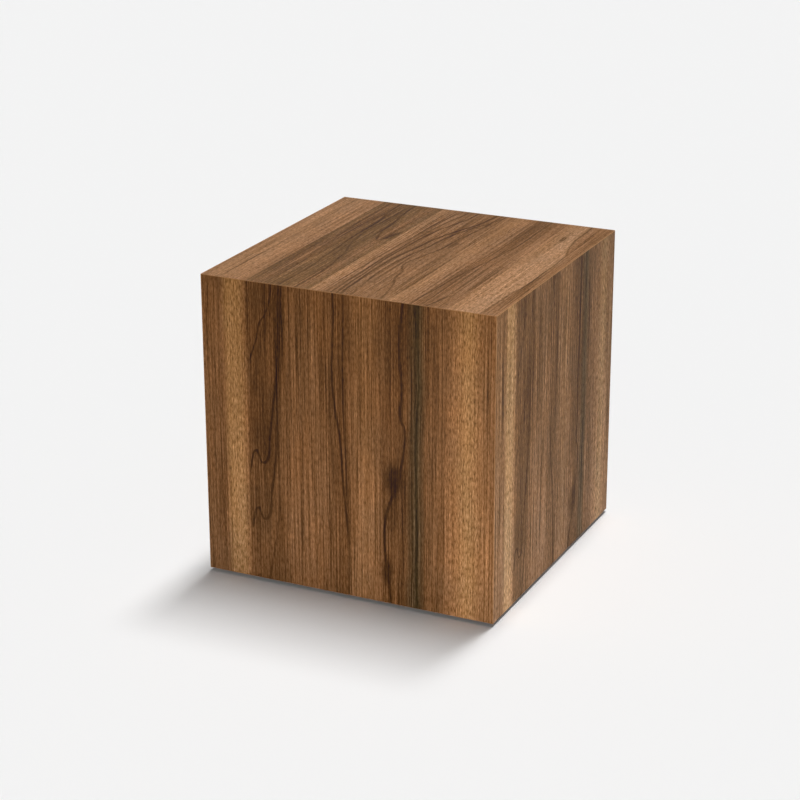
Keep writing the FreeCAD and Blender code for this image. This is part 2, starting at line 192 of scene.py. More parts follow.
SIDE_LEAF = {
    # colour bands across the leaf; a pair of close stops is a joint between two strips
    "bands": [
        (0.0, NUT), (0.07, NUT), (0.09, HONEY), (0.13, HONEY), (0.15, TAWNY), (0.16, UMBER),
        (0.26, UMBER), (0.31, NUT), (0.40, NUT), (0.48, UMBER), (0.50, UMBER), (0.51, NUT),
        (0.56, TAWNY), (0.620, NUT), (0.625, UMBER), (0.70, UMBER), (0.74, SMOKE), (0.77, NUT),
        (0.84, NUT), (0.87, TAWNY), (0.91, HONEY), (0.95, TAWNY), (1.0, NUT),
    ],
    # growth lines are level lines of rise + lean * along, with rise and lean set across the leaf
    "rise": [
        (0.00, 0.00), (0.08, 2.60), (0.15, 4.20), (0.156, -1.20), (0.180, -1.15), (0.210, -1.20),
        (0.235, -1.10), (0.250, -1.00), (0.260, -0.90), (0.270, -0.60), (0.300, 0.05),
        (0.350, 1.05), (0.400, 1.85), (0.420, 1.95), (0.440, 1.75), (0.460, 1.20),
        (0.505, 0.25), (0.560, -0.90), (0.620, -2.20), (0.640, -2.00), (0.700, 0.00),
        (0.760, 1.40), (0.840, 3.20), (0.900, 4.20), (1.00, 6.40),
    ],
    "lean": [(0.0, 0.25), (0.15, 0.25), (0.16, 1.0), (0.50, 1.0), (0.53, 0.3), (0.62, 0.2),
             (0.66, 0.45), (0.84, 0.3), (1.0, 0.2)],
    # how light the leaf is along its length
    "depth": [(-1.0, 0.85), (-0.3, 0.78), (0.0, 0.86), (0.5, 1.04), (1.0, 1.18), (1.2, 1.18)],
    # painted reflection of the white floor: the leaf is drawn warmer and redder at its top, and cooler and
    # bluer towards its foot
    "painted_floor_reflection_casts": ((0.99, 0.94, 0.84), (1.0, 1.04, 1.16)),
    # how strongly the growth lines show across the leaf
    "contrast": [(0.0, 0.65), (0.07, 0.55), (0.10, 0.15), (0.145, 0.15), (0.160, 0.35),
                 (0.25, 0.70), (0.33, 0.65), (0.42, 0.55), (0.47, 0.80), (0.53, 0.50),
                 (0.61, 0.55), (0.64, 0.60), (0.74, 1.00), (0.82, 0.70), (0.85, 0.20),
                 (0.93, 0.15), (0.96, 0.40), (1.0, 0.55)],
    # single level lines: level, darkness, half width
    "levels": [(-0.58, 1.00, 0.0050), (-0.38, 0.85, 0.0050), (-0.14, 0.60, 0.0040),
               (-1.42, 0.55, 0.0035), (0.62, 0.40, 0.0030)],
    # drawn dark lines: darkness, half width, and (along, across) places
    "lines": [
        (0.85, 0.0055, [(-1.0, 0.430), (-0.4, 0.445), (0.0, 0.460), (0.30, 0.460), (0.50, 0.480),
                        (0.65, 0.490), (0.80, 0.505), (1.0, 0.505), (1.2, 0.500)]),
        (0.65, 0.0040, [(-1.0, 0.480), (0.0, 0.495), (0.30, 0.490), (0.60, 0.500), (1.0, 0.515),
                        (1.2, 0.520)]),
        (0.95, 0.0070, [(-1.0, 0.670), (-0.5, 0.690), (0.0, 0.690), (0.12, 0.680), (0.30, 0.685),
                        (0.36, 0.680), (0.42, 0.695), (0.50, 0.690), (0.56, 0.680), (0.62, 0.660),
                        (0.68, 0.640), (0.80, 0.630), (0.90, 0.645), (1.0, 0.655), (1.2, 0.665)]),
        (0.85, 0.0050, [(-1.0, 0.740), (0.0, 0.735), (0.20, 0.740), (0.50, 0.735), (0.80, 0.740),
                        (1.2, 0.740)]),
        (0.60, 0.0040, [(-1.0, 0.765), (0.0, 0.755), (0.30, 0.750), (0.60, 0.760), (1.2, 0.755)]),
        (0.40, 0.0050, [(-1.0, 0.825), (0.5, 0.830), (1.2, 0.825)]),
        (0.40, 0.0035, [(-1.0, 0.060), (0.0, 0.065), (0.50, 0.060), (0.80, 0.045), (1.2, 0.040)]),
        (0.50, 0.0030, [(-1.0, 0.300), (0.0, 0.290), (0.40, 0.300), (0.80, 0.285), (1.2, 0.280)]),
        (0.90, 0.0045, [(-0.05, 0.245), (0.05, 0.240), (0.10, 0.225), (0.13, 0.205), (0.18, 0.195),
                        (0.25, 0.170), (0.30, 0.160)]),
        (0.75, 0.0045, [(-0.24, 0.230), (-0.12, 0.205), (-0.02, 0.175), (0.03, 0.160)]),
        (0.50, 0.0130, [(-0.16, 0.285), (0.0, 0.265), (0.08, 0.245), (0.18, 0.210), (0.30, 0.190),
                        (0.40, 0.180)]),
        (0.55, 0.0030, [(0.70, 0.420), (0.80, 0.435), (1.0, 0.445), (1.15, 0.450)]),
        (0.55, 0.0030, [(0.70, 0.420), (0.78, 0.400), (1.0, 0.390), (1.15, 0.390)]),
        (0.70, 0.0040, [(-1.0, 0.710), (0.0, 0.715), (0.50, 0.720), (0.75, 0.725), (1.2, 0.720)]),
        (0.60, 0.0035, [(-1.0, 0.350), (0.0, 0.345), (0.50, 0.350), (0.80, 0.340), (1.2, 0.340)]),
    ],
    # soft dark marks: across, along, half width, half height, darkness
    "marks": [
        (0.235, 0.18, 0.050, 0.42, 0.30), (0.205, 0.45, 0.050, 0.16, 0.30),
        (0.660, 0.58, 0.040, 0.07, 1.00), (0.640, 0.89, 0.025, 0.06, 0.90),
        (0.205, 0.51, 0.045, 0.09, 0.35), (0.200, 0.73, 0.045, 0.06, 0.20),
        (0.700, 0.05, 0.030, 0.30, 0.35), (0.655, 0.69, 0.035, 0.07, 0.30),
        (0.200, 0.80, 0.040, 0.04, 0.25), (0.740, 0.25, 0.030, 0.50, 0.25),
        (0.215, -0.25, 0.030, 0.12, 0.30), (0.680, -0.35, 0.030, 0.15, 0.50),
    ],
}

TOP_LEAF = {
    "bands": [
        (0.0, NUT), (0.04, TAWNY), (0.155, NUT), (0.160, PEAT), (0.20, UMBER), (0.25, PEAT),
        (0.31, PEAT), (0.34, UMBER), (0.375, PEAT), (0.380, TAWNY), (0.43, NUT), (0.46, CHESTNUT),
        (0.60, CHESTNUT), (0.66, TAWNY), (0.71, NUT), (0.74, UMBER), (0.840, NUT), (0.845, TAWNY),
        (0.90, AMBER), (1.0, AMBER),
    ],
    "rise": [
        (0.000, -4.00), (0.080, -2.80), (0.154, -1.00), (0.158, 2.50), (0.200, 1.60), (0.240, 1.00),
        (0.270, 0.65), (0.290, 0.45), (0.320, 0.15), (0.345, 0.00), (0.360, 0.10),
        (0.374, 0.30), (0.379, 5.20), (0.460, 3.00), (0.520, 1.50), (0.560, 0.45),
        (0.585, 0.00), (0.620, 0.90), (0.700, 2.90), (0.838, 6.30), (0.900, 7.60), (1.000, 9.50),
    ],
    "lean": [(0.0, 0.3), (0.15, 0.3), (0.16, 1.0), (0.37, 1.0), (0.38, 0.1), (0.60, 0.1),
             (0.68, 1.2), (0.80, 1.4), (0.85, 0.4), (1.0, 0.6)],
    # here the levels also rise by bow * (along - middle) ** 2, which closes them into arches
    "bow": [(0.0, 0.0), (0.37, 0.0), (0.38, 6.5), (0.55, 6.5), (0.66, 0.5), (1.0, 0.0)],
    "middle": 0.72,
    "depth": [(-1.0, 1.0), (0.0, 1.0), (0.5, 1.06), (1.0, 1.12), (1.2, 1.12)],
    "contrast": [(0.0, 0.35), (0.14, 0.30), (0.16, 0.70), (0.27, 0.70), (0.34, 0.35),
                 (0.37, 0.35), (0.40, 0.35), (0.45, 0.50), (0.56, 0.40), (0.63, 0.45),
                 (0.69, 0.30), (0.74, 0.50), (0.83, 0.40), (0.86, 0.20), (0.94, 0.25),
                 (0.97, 0.45), (1.0, 0.45)],
    "levels": [(0.86, 0.45, 0.0035), (0.12, 0.40, 0.0035)],
    "lines": [
        (0.95, 0.0055, [(-1.0, 0.600), (0.12, 0.565), (0.20, 0.540), (0.32, 0.510), (0.45, 0.490),
                        (0.60, 0.470), (0.75, 0.465), (0.90, 0.480), (1.2, 0.510)]),
        (0.80, 0.0050, [(-1.0, 0.520), (0.0, 0.480), (0.15, 0.460), (0.35, 0.450), (0.60, 0.440),
                        (0.85, 0.445), (1.2, 0.475)]),
        (0.65, 0.0045, [(-1.0, 0.500), (0.0, 0.455), (0.15, 0.435), (0.35, 0.430), (0.60, 0.420),
                        (0.85, 0.430), (1.2, 0.450)]),
        (0.80, 0.0050, [(-1.0, 0.560), (0.0, 0.515), (0.12, 0.500), (0.25, 0.475), (0.40, 0.460),
                        (0.60, 0.450), (0.80, 0.455), (1.0, 0.475), (1.2, 0.490)]),
        (0.70, 0.0045, [(-1.0, 0.660), (0.08, 0.600), (0.14, 0.575), (0.20, 0.555), (0.30, 0.535),
                        (0.45, 0.515), (0.60, 0.495), (0.75, 0.490), (0.90, 0.510), (1.2, 0.540)]),
        (0.90, 0.0050, [(-0.60, 0.260), (0.05, 0.275), (0.15, 0.285), (0.25, 0.300), (0.35, 0.315),
                        (0.41, 0.330), (0.46, 0.345)]),
        (0.90, 0.0055, [(0.29, 0.370), (0.38, 0.360), (0.42, 0.350), (0.46, 0.340)]),
        (0.85, 0.0050, [(-1.0, 0.215), (0.0, 0.220), (0.15, 0.230), (0.20, 0.240), (0.40, 0.250),
                        (0.60, 0.260), (0.80, 0.270), (1.2, 0.270)]),
        (0.50, 0.0040, [(-1.0, 0.060), (0.0, 0.055), (0.50, 0.065), (1.2, 0.060)]),
        (0.80, 0.0045, [(0.86, 0.800), (0.93, 0.785), (1.05, 0.760)]),
        (0.65, 0.0050, [(-1.0, 0.600), (0.42, 0.565), (0.55, 0.540), (0.64, 0.525), (0.68, 0.535),
                        (0.705, 0.550), (0.78, 0.565), (0.88, 0.600), (1.2, 0.640)]),
        (0.70, 0.0045, [(-1.0, 0.225), (0.10, 0.235), (0.35, 0.260), (0.50, 0.280), (0.65, 0.310),
                        (1.2, 0.330)]),
        (0.65, 0.0040, [(-1.0, 0.180), (0.0, 0.185), (0.30, 0.190), (0.50, 0.205), (1.2, 0.215)]),
        (0.65, 0.0045, [(-1.0, 0.785), (0.0, 0.775), (0.40, 0.770), (0.70, 0.735), (1.2, 0.715)]),
        (0.50, 0.0040, [(-1.0, 0.650), (0.0, 0.635), (0.50, 0.640), (1.2, 0.645)]),
        (0.60, 0.0045, [(-1.0, 0.900), (0.0, 0.920), (0.20, 0.930), (0.35, 0.960), (0.50, 0.970),
                        (0.65, 0.965), (0.80, 0.950), (1.0, 0.945), (1.2, 0.940)]),
    ],
    "marks": [
        (0.360, 0.37, 0.015, 0.05, 0.50), (0.325, 0.65, 0.050, 0.07, 0.20),
        (0.590, 0.12, 0.015, 0.04, 0.55), (0.580, 0.38, 0.015, 0.04, 0.45),
        (0.885, 0.18, 0.010, 0.04, 0.70), (0.255, 0.50, 0.090, 0.60, 0.15),
        (0.170, 0.75, 0.020, 0.30, 0.25), (0.770, 0.15, 0.060, 0.25, 0.20),
    ],
    # the right-hand strip, beyond a wavy seam: its places and its colour
    "strip": ([(-1.0, 0.900), (0.0, 0.918), (0.20, 0.932), (0.35, 0.960), (0.50, 0.970),
               (0.65, 0.963), (0.80, 0.952), (1.0, 0.945), (1.2, 0.940)], NUT),
}

# each run of growth lines: lines to one step of rise, detail, line width and weight
GROWTH_LINES = ((2.3, 3.0, 0.15, 0.9), (6.0, 2.0, 0.25, 0.6))
JOINT_GAP = 0.013               # two colour stops closer than this are a joint
JOINT_CALM = 0.04               # how near a joint the fibres run straight
SLOW_WANDER, QUICK_WANDER = 0.034, 0.012
SLOPE_STEP = 0.003              # the step across over which a level's slope is taken
SEAM_START, SEAM_FULL = -0.003, 0.004
LINE_CORE = 0.45                # the share of a line's half width that is full dark
LINE_BODY = 1.3                 # how far its edge reaches, in half widths
HALO_BODY, HALO_DARK = 4, 0.35  # the soft shade beside a drawn line
LINE_END = 0.05                 # how far a line takes to fade out at its end
FLAME_LEFT, FLAME_RIGHT = (0.157, 0.163), (0.30, 0.38)  # where single level lines fade in and out
STRIAE_DARK = 0.95
DARK_WOOD = (0.27, 0.25, 0.18)  # what a full-dark line leaves of the colour under it


def darker(r, value, darkness, depth=1.0):
    """Adds one more mark to a darkness, never past full."""
    return r.maths("MAXIMUM", darkness, r.maths("MULTIPLY", value, depth))


def wandering_grain(r, plan, across, along):
    """The place across the leaf, with fibres that wander a little except at its joints."""
    joints = [spot for (spot, tone), (after, next_tone) in zip(plan["bands"], plan["bands"][1:])
              if after - spot < JOINT_GAP]
    free = 1.0
    for joint in joints:
        free = r.maths("MULTIPLY", free, r.between(r.apart(across, joint), 0.0, JOINT_CALM))
    slow = r.off(r.noise(r.stretched(across, 2.5, along, 2.2, 3.1)), 0.5)
    quick = r.off(r.noise(r.stretched(across, 14, along, 7, 8.7)), 0.5)
    wander = r.maths("ADD", r.maths("MULTIPLY", slow, SLOW_WANDER), r.maths("MULTIPLY", quick, QUICK_WANDER))
    return r.maths("MULTIPLY_ADD", wander, free, across)


def leaf_colour(r, plan, grain, across, along):
    """The strips of a leaf in their own tones; on side leaves, also a painted floor reflection that cools
    their lower part.
    """
    colour = r.ramp(grain, [(spot, paint(*tone)) for spot, tone in plan["bands"]])
    if "strip" in plan:
        seam, tone = plan["strip"]
        beyond = r.off(across, r.curve(along, seam, LEAF_TOP, LEAF_END))
        colour = r.mix(r.between(beyond, SEAM_START, SEAM_FULL), colour, opaque(paint(*tone)))
    colour = r.scaled(colour, r.curve(along, plan["depth"], LEAF_TOP, LEAF_END))
    # painted reflection: a cast that grows bluer towards the leaf's foot, standing for the white floor's
    # sheen
    if "painted_floor_reflection_casts" in plan:
        upper, lower = (opaque(floor_sheen_cast) for floor_sheen_cast in plan["painted_floor_reflection_casts"])
        floor_sheen_cast = r.mix(r.between(along, 0.0, 1.0), upper, lower)
        colour = r.mix(1.0, colour, floor_sheen_cast, "MULTIPLY")
    return colour


def level_at(r, plan, place, along):
    """Which growth level a spot lies on."""
    height = r.curve(place, plan["rise"])
    height = r.maths("MULTIPLY_ADD", r.curve(place, plan["lean"]), along, height)
    if "bow" not in plan:
        return height
    bowed = r.maths("POWER", r.off(along, plan["middle"]), 2.0)
    return r.maths("MULTIPLY_ADD", r.curve(place, plan["bow"]), bowed, height)


def growth_lines(r, level, fade, contrast):
    """Many fine growth lines, of uneven weight."""
    dark = 0.0
    for pitch, detail, width, weight in GROWTH_LINES:
        rings = r.line_noise(r.maths("MULTIPLY_ADD", level, pitch, pitch), detail)
        thin = r.between(r.apart(rings, 0.5), 0.0, width, 1.0, 0.0)
        thin = r.maths("MULTIPLY", thin, r.between(fade, 0.3, 0.7, 0.3 * weight, weight))
        broad = r.between(rings, 0.30, 0.75, 0.45 * weight, 0.0)
        dark = darker(r, r.maths("MAXIMUM", thin, broad), dark, contrast)
    return dark


def level_line(r, grain, level, steep, height, half):
    """One growth line, where it runs between the flame's two edges."""
    share = r.maths("DIVIDE", r.apart(level, height), r.maths("MULTIPLY", steep, half * LINE_BODY))
    left = r.between(grain, *FLAME_LEFT)
    right = r.between(grain, *FLAME_RIGHT, 1.0, 0.0)
    return r.maths("MULTIPLY", r.between(share, LINE_CORE, 1.0, 1.0, 0.0), r.maths("MULTIPLY", left, right))


def drawn_line(r, grain, along, fade, half, places):
    """One dark line through its places, with a soft shade beside it."""
    away = r.apart(grain, r.curve(along, places, LEAF_TOP, LEAF_END))
    weight = r.between(fade, 0.25, 0.75, 0.8, 1.4)
    core = r.between(away, half * LINE_CORE, half * LINE_BODY, 1.0, 0.0)
    halo = r.between(away, 0.0, half * HALO_BODY, HALO_DARK, 0.0)
    line = r.maths("MAXIMUM", r.maths("MULTIPLY", core, weight), halo)
    start, end = places[0][0], places[-1][0]
    if start > LEAF_TOP:
        line = r.maths("MULTIPLY", line, r.between(along, start, start + LINE_END))
    if end < LEAF_END:
        line = r.maths("MULTIPLY", line, r.between(along, end - LINE_END, end, 1.0, 0.0))
    return line


def soft_mark(r, grain, along, mark):
    """One soft-edged oval."""
    mark_across, mark_along, half_across, half_along = mark
    side = r.maths("DIVIDE", r.off(grain, mark_across), half_across)
    up = r.maths("DIVIDE", r.off(along, mark_along), half_along)
    from_middle = r.maths("SQRT", r.maths("MULTIPLY_ADD", up, up, r.maths("MULTIPLY", side, side)))
    return r.between(from_middle, 0.35, 1.2, 1.0, 0.0, smooth=True)


def leaf_group(name, plan):
    """The drawn figure of one veneer leaf: its colour, how dark its lines are and where it is quiet."""
    tree, r, given, out = new_group(name, ("Across", "Along"), ("Colour", "Dark", "Quiet"))
    across, along = given["Across"], given["Along"]
    grain = wandering_grain(r, plan, across, along)
    colour = leaf_colour(r, plan, grain, across, along)

    level = level_at(r, plan, grain, along)
    ahead = level_at(r, plan, r.maths("ADD", grain, SLOPE_STEP), along)
    slope = r.maths("DIVIDE", r.maths("SUBTRACT", ahead, level), SLOPE_STEP)
    steep = r.maths("SQRT", r.maths("MULTIPLY_ADD", slope, slope, 1.0))

    fade = r.noise(r.stretched(across, 9, along, 1.6, 1.7))
    contrast = r.curve(grain, plan["contrast"])
    dark = growth_lines(r, level, fade, contrast)

    # straight striae, close together, that fade in and out
    striae = r.noise(r.stretched(grain, 125, along, 2.2, 5.5), 1.0, 3.0, 0.7)
    striae = r.between(striae, 0.36, 0.54, 1.0, 0.0)
    dark = darker(r, r.maths("MULTIPLY", striae, contrast), dark, STRIAE_DARK)

    for height, darkness, half in plan["levels"]:
        dark = darker(r, level_line(r, grain, level, steep, height, half), dark, darkness)
    for darkness, half, places in plan["lines"]:
        dark = darker(r, drawn_line(r, grain, along, fade, half, places), dark, darkness)
    for *mark, darkness in plan["marks"]:
        shade = r.maths("MULTIPLY", soft_mark(r, grain, along, mark), darkness)
        dark = r.maths("MULTIPLY_ADD", shade, r.maths("SUBTRACT", 1.0, dark), dark)

    tree.links.new(r.tinted(colour, DARK_WOOD, dark), out["Colour"])
    tree.links.new(dark, out["Dark"])
    tree.links.new(r.between(contrast, 0.15, 0.45, 1.0, 0.0), out["Quiet"])
    return tree


# how much each layer of fibre shows, and how that changes where the wood is quiet
COARSE_SHARE, FINE_SHARE, SPECK_SHARE = (2.7, -0.45), (1.2, 0.0), (1.6, 0.5)
MOTTLE_SHARE, RIPPLE_SHARE = 0.32, 0.16
PORE_DARK = 0.28
COOL, WARM = (0.98, 1.0, 1.03), (1.03, 1.0, 0.95)       # the mottle's two casts
RIPE, PALE = (1.05, 1.0, 0.84), (0.95, 1.0, 1.12)       # casts of dark and of light fibres
LEAST_LIGHT = 0.002             # what the darkest wood still gives back
SATIN = 0.36                    # the lacquer's roughness between the fibres


def fibre_group():
    """Walnut's own fine detail: fibres, open pores, mottle and a slight ripple; it also takes off each
    face's sheen shade, a painted shade.
    """
    tree, r, given, out = new_group(
        "walnut_fibre",
        ("Colour", "Across", "Along", "Seed", "Dark", "Quiet", "Strength", "Reflection Shade"),
        ("Colour", "Roughness", "Height"))
    across, along, seed = given["Across"], given["Along"], given["Seed"]

    def streaks(stretch, scale, detail, layer):
        spot = r.place(across, r.maths("MULTIPLY", along, stretch), r.maths("ADD", seed, layer))
        return r.noise(spot, scale, detail, 0.6)

    coarse = streaks(0.011, 430.0, 3.0, 0.0)
    fine = streaks(0.05, 1700.0, 2.0, 2.3)
    speck = streaks(0.20, 620.0, 2.0, 4.7)
    mottle = streaks(0.45, 26.0, 2.0, 6.1)
    ripple = streaks(2.5, 70.0, 1.0, 8.9)
    pore = r.between(streaks(0.045, 1050.0, 1.5, 10.4), 0.60, 0.68)

    tone = 1.0
    for value, (share, calm) in ((coarse, COARSE_SHARE), (fine, FINE_SHARE), (speck, SPECK_SHARE)):
        weight = r.maths("MULTIPLY_ADD", given["Quiet"], share * calm, share)
        weight = r.maths("MULTIPLY", given["Strength"], weight)
        tone = r.maths("MULTIPLY", tone, r.maths("MULTIPLY_ADD", r.off(value, 0.5), weight, 1.0))
    for value, share in ((mottle, MOTTLE_SHARE), (ripple, RIPPLE_SHARE)):
        tone = r.maths("MULTIPLY", tone, r.maths("MULTIPLY_ADD", r.off(value, 0.5), share, 1.0))

    colour = r.scaled(given["Colour"], tone)
    for value, low, high, low_cast, high_cast in ((mottle, 0.35, 0.65, COOL, WARM),
                                                  (tone, 0.6, 1.4, RIPE, PALE)):
        cast = r.mix(r.between(value, low, high), opaque(low_cast), opaque(high_cast))
        colour = r.mix(1.0, colour, cast, "MULTIPLY")
    colour = r.tinted(colour, DARK_WOOD, r.maths("MULTIPLY", pore, PORE_DARK))

    # painted shade: the colour is lowered by each face's sheen shade, set to the lacquer reflection that
    # face shows under these lamps
    painted_sheen_shade = r.place(given["Reflection Shade"], given["Reflection Shade"], given["Reflection Shade"])
    colour = r.add("VectorMath", {0: colour, 1: painted_sheen_shade}, operation="SUBTRACT").outputs[0]
    least = (LEAST_LIGHT, LEAST_LIGHT, LEAST_LIGHT)
    colour = r.add("VectorMath", {0: colour, 1: least}, operation="MAXIMUM").outputs[0]
    tree.links.new(colour, out["Colour"])

    rough = r.maths("MULTIPLY_ADD", fine, 0.14, SATIN)
    rough = r.maths("MULTIPLY_ADD", pore, 0.18, rough)
    tree.links.new(r.maths("MULTIPLY_ADD", given["Dark"], 0.06, rough), out["Roughness"])
    low = r.maths("MULTIPLY_ADD", pore, -1.0, r.maths("MULTIPLY", fine, 0.5))
    tree.links.new(r.maths("MULTIPLY_ADD", coarse, 0.4, low), out["Height"])
    return tree


GROUPS = {
    "side": leaf_group("side_leaf", SIDE_LEAF),
    "top": leaf_group("top_leaf", TOP_LEAF),
    "fibre": fibre_group(),
}


def new_material(name):
    material = bpy.data.materials.new(name)
    material.use_nodes = True
    r = Recipe(material.node_tree)
    return material, r, material.node_tree.nodes["Principled BSDF"]


def use_group(r, tree, inputs):
    return r.add("Group", inputs, node_tree=tree).outputs


def axis_share(r, coordinates, axis, sign):
    """0 to 1 across the cube along one axis."""
    low, high = BODY_LOW["XYZ".index(axis)], BODY_HIGH["XYZ".index(axis)]
    start, end = (low, high) if sign > 0 else (high, low)
    return r.maths("MULTIPLY_ADD", coordinates[axis], 1 / (end - start), -start / (end - start))


GLOSS = 0.08                        # the lacquer's specular level
BUMP, BUMP_DEPTH = 0.25, 0.1 * MM


def finish_wood(r, shader, fibre, gloss=GLOSS):
    r.tree.links.new(fibre["Colour"], shader.inputs["Base Color"])
    r.tree.links.new(fibre["Roughness"], shader.inputs["Roughness"])
    raised = r.add("Bump", {"Height": fibre["Height"], "Strength": BUMP, "Distance": BUMP_DEPTH})
    r.tree.links.new(raised.outputs["Normal"], shader.inputs["Normal"])
    shader.inputs["Specular IOR Level"].default_value = gloss


PAINTED_REFLECTION_TONE = paint(110, 76, 47)     # the pale tone of a painted reflection, which the veil draws a leaf towards
ARRIS_WEAR_AND_HIGHLIGHT = paint(176, 134, 94)    # sanded wear and a painted highlight along the arrises
ARRIS_SOLID, ARRIS_EDGE = 0.3 * MM, 1.0 * MM
ARRIS_SHARE = 0.75


def leaf_material(name, leaf, across_axis, across_sign, along_axis, along_sign, shift, seed,
                  strength=1.25, gloss=GLOSS, painted_sheen_shade=0.004, tint=(1, 1, 1), painted_reflection_veil=0.0):
    """A face of the cube in one leaf, with its arrises painted lighter, as sanded wear and a painted
    highlight.

    The shift slides the leaf along the face, in cube edges. Strength is how much the fibres
    show. The sheen shade is painted shade: how far the colour is lowered for the lacquer
    reflection this face shows under these lamps. The veil and the tint paint that reflection's pale, greyer
    cast into the colour, the veil drawing the figure towards one plain tone.
    """
    material, r, shader = new_material(name)
    spot = r.add("TexCoord").outputs["Object"]
    xyz = r.add("SeparateXYZ", {0: spot}).outputs
    across = axis_share(r, xyz, across_axis, across_sign)
    along = axis_share(r, xyz, along_axis, along_sign)
    figure = use_group(r, GROUPS[leaf], {"Across": across, "Along": r.off(along, shift)})
    # painted reflection: the veil draws the figure towards a pale tone and the tint gives it a greyer cast,
    # for this face's lacquer reflection
    colour = r.mix(painted_reflection_veil, figure["Colour"], opaque(PAINTED_REFLECTION_TONE))
    fibre = use_group(r, GROUPS["fibre"], {
        "Colour": r.tinted(colour, tint), "Dark": figure["Dark"], "Quiet": figure["Quiet"],
        "Seed": seed, "Strength": strength, "Reflection Shade": painted_sheen_shade,
        "Across": r.maths("MULTIPLY", across, EDGE), "Along": r.maths("MULTIPLY", along, EDGE)})
    finish_wood(r, shader, fibre, gloss)

    # the arrises are painted lighter: sanded wear and a painted highlight
    to_side = r.maths("MINIMUM", across, r.maths("SUBTRACT", 1.0, across))
    to_end = along if along_axis == "Z" else r.maths("MINIMUM", along, r.maths("SUBTRACT", 1.0, along))
    nearest = r.maths("MULTIPLY", r.maths("MINIMUM", to_side, to_end), EDGE)
    highlight_and_wear_share = r.between(nearest, ARRIS_SOLID, ARRIS_EDGE, ARRIS_SHARE, 0.0)
    colour_with_arris_highlight = r.mix(highlight_and_wear_share, fibre["Colour"], opaque(ARRIS_WEAR_AND_HIGHLIGHT))
    r.tree.links.new(colour_with_arris_highlight, shader.inputs["Base Color"])
    return material


LINING, EDGING = (108, 76, 48), (96, 66, 41)
LINING_STRENGTH = 0.8


def plain_walnut(name, across_axis, along_axis, middle_tone, seed):
    """Quiet straight-grained walnut for linings and edgings."""
    material, r, shader = new_material(name)
    spot = r.add("TexCoord").outputs["Object"]
    xyz = r.add("SeparateXYZ", {0: spot}).outputs
    across, along = xyz[across_axis], xyz[along_axis]
    bands = r.noise(r.stretched(across, 22, along, 0.8, seed), 1.0, 3.0)
    streak = r.line_noise(r.maths("MULTIPLY_ADD", across, 260, r.maths("MULTIPLY", bands, 14)), 2.0)
    thin = r.between(r.apart(streak, 0.5), 0.0, 0.08, 0.55, 0.0)
    tones = [(0.30, (84, 56, 34)), (0.45, middle_tone), (0.56, (122, 86, 54)), (0.70, (142, 102, 66))]
    colour = r.ramp(bands, [(spot, paint(*tone)) for spot, tone in tones])
    fibre = use_group(r, GROUPS["fibre"], {
        "Colour": r.tinted(colour, DARK_WOOD, thin), "Dark": thin, "Quiet": 0.0, "Seed": seed,
        "Strength": LINING_STRENGTH, "Reflection Shade": 0.0, "Across": across, "Along": along})
    finish_wood(r, shader, fibre)
    return material


# ========================================================== the other finishes
def speckled(name, tone, rough, scale, stretch=(1, 1, 1), contrast=0.25, metallic=0.0, bump=0.1):
    """A finish with its own fine structure: brushing, moulding grain or fibres."""
    material, r, shader = new_material(name)
    spot = r.add("Mapping", {"Vector": r.add("TexCoord").outputs["Object"], "Scale": stretch}).outputs[0]
    grain = r.noise(spot, scale, 3.0, 0.6)
    cloud = r.noise(spot, scale * 0.06, 2.0)
    light = r.maths("MULTIPLY_ADD", r.off(grain, 0.5), contrast, 1.0)
    light = r.maths("MULTIPLY_ADD", r.off(cloud, 0.5), contrast * 0.6, light)
    r.tree.links.new(r.scaled(tone, light), shader.inputs["Base Color"])
    r.tree.links.new(r.maths("MULTIPLY_ADD", grain, 0.2, rough - 0.1), shader.inputs["Roughness"])
    shader.inputs["Metallic"].default_value = metallic
    raised = r.add("Bump", {"Height": grain, "Strength": bump, "Distance": BUMP_DEPTH})
    r.tree.links.new(raised.outputs["Normal"], shader.inputs["Normal"])
    return material


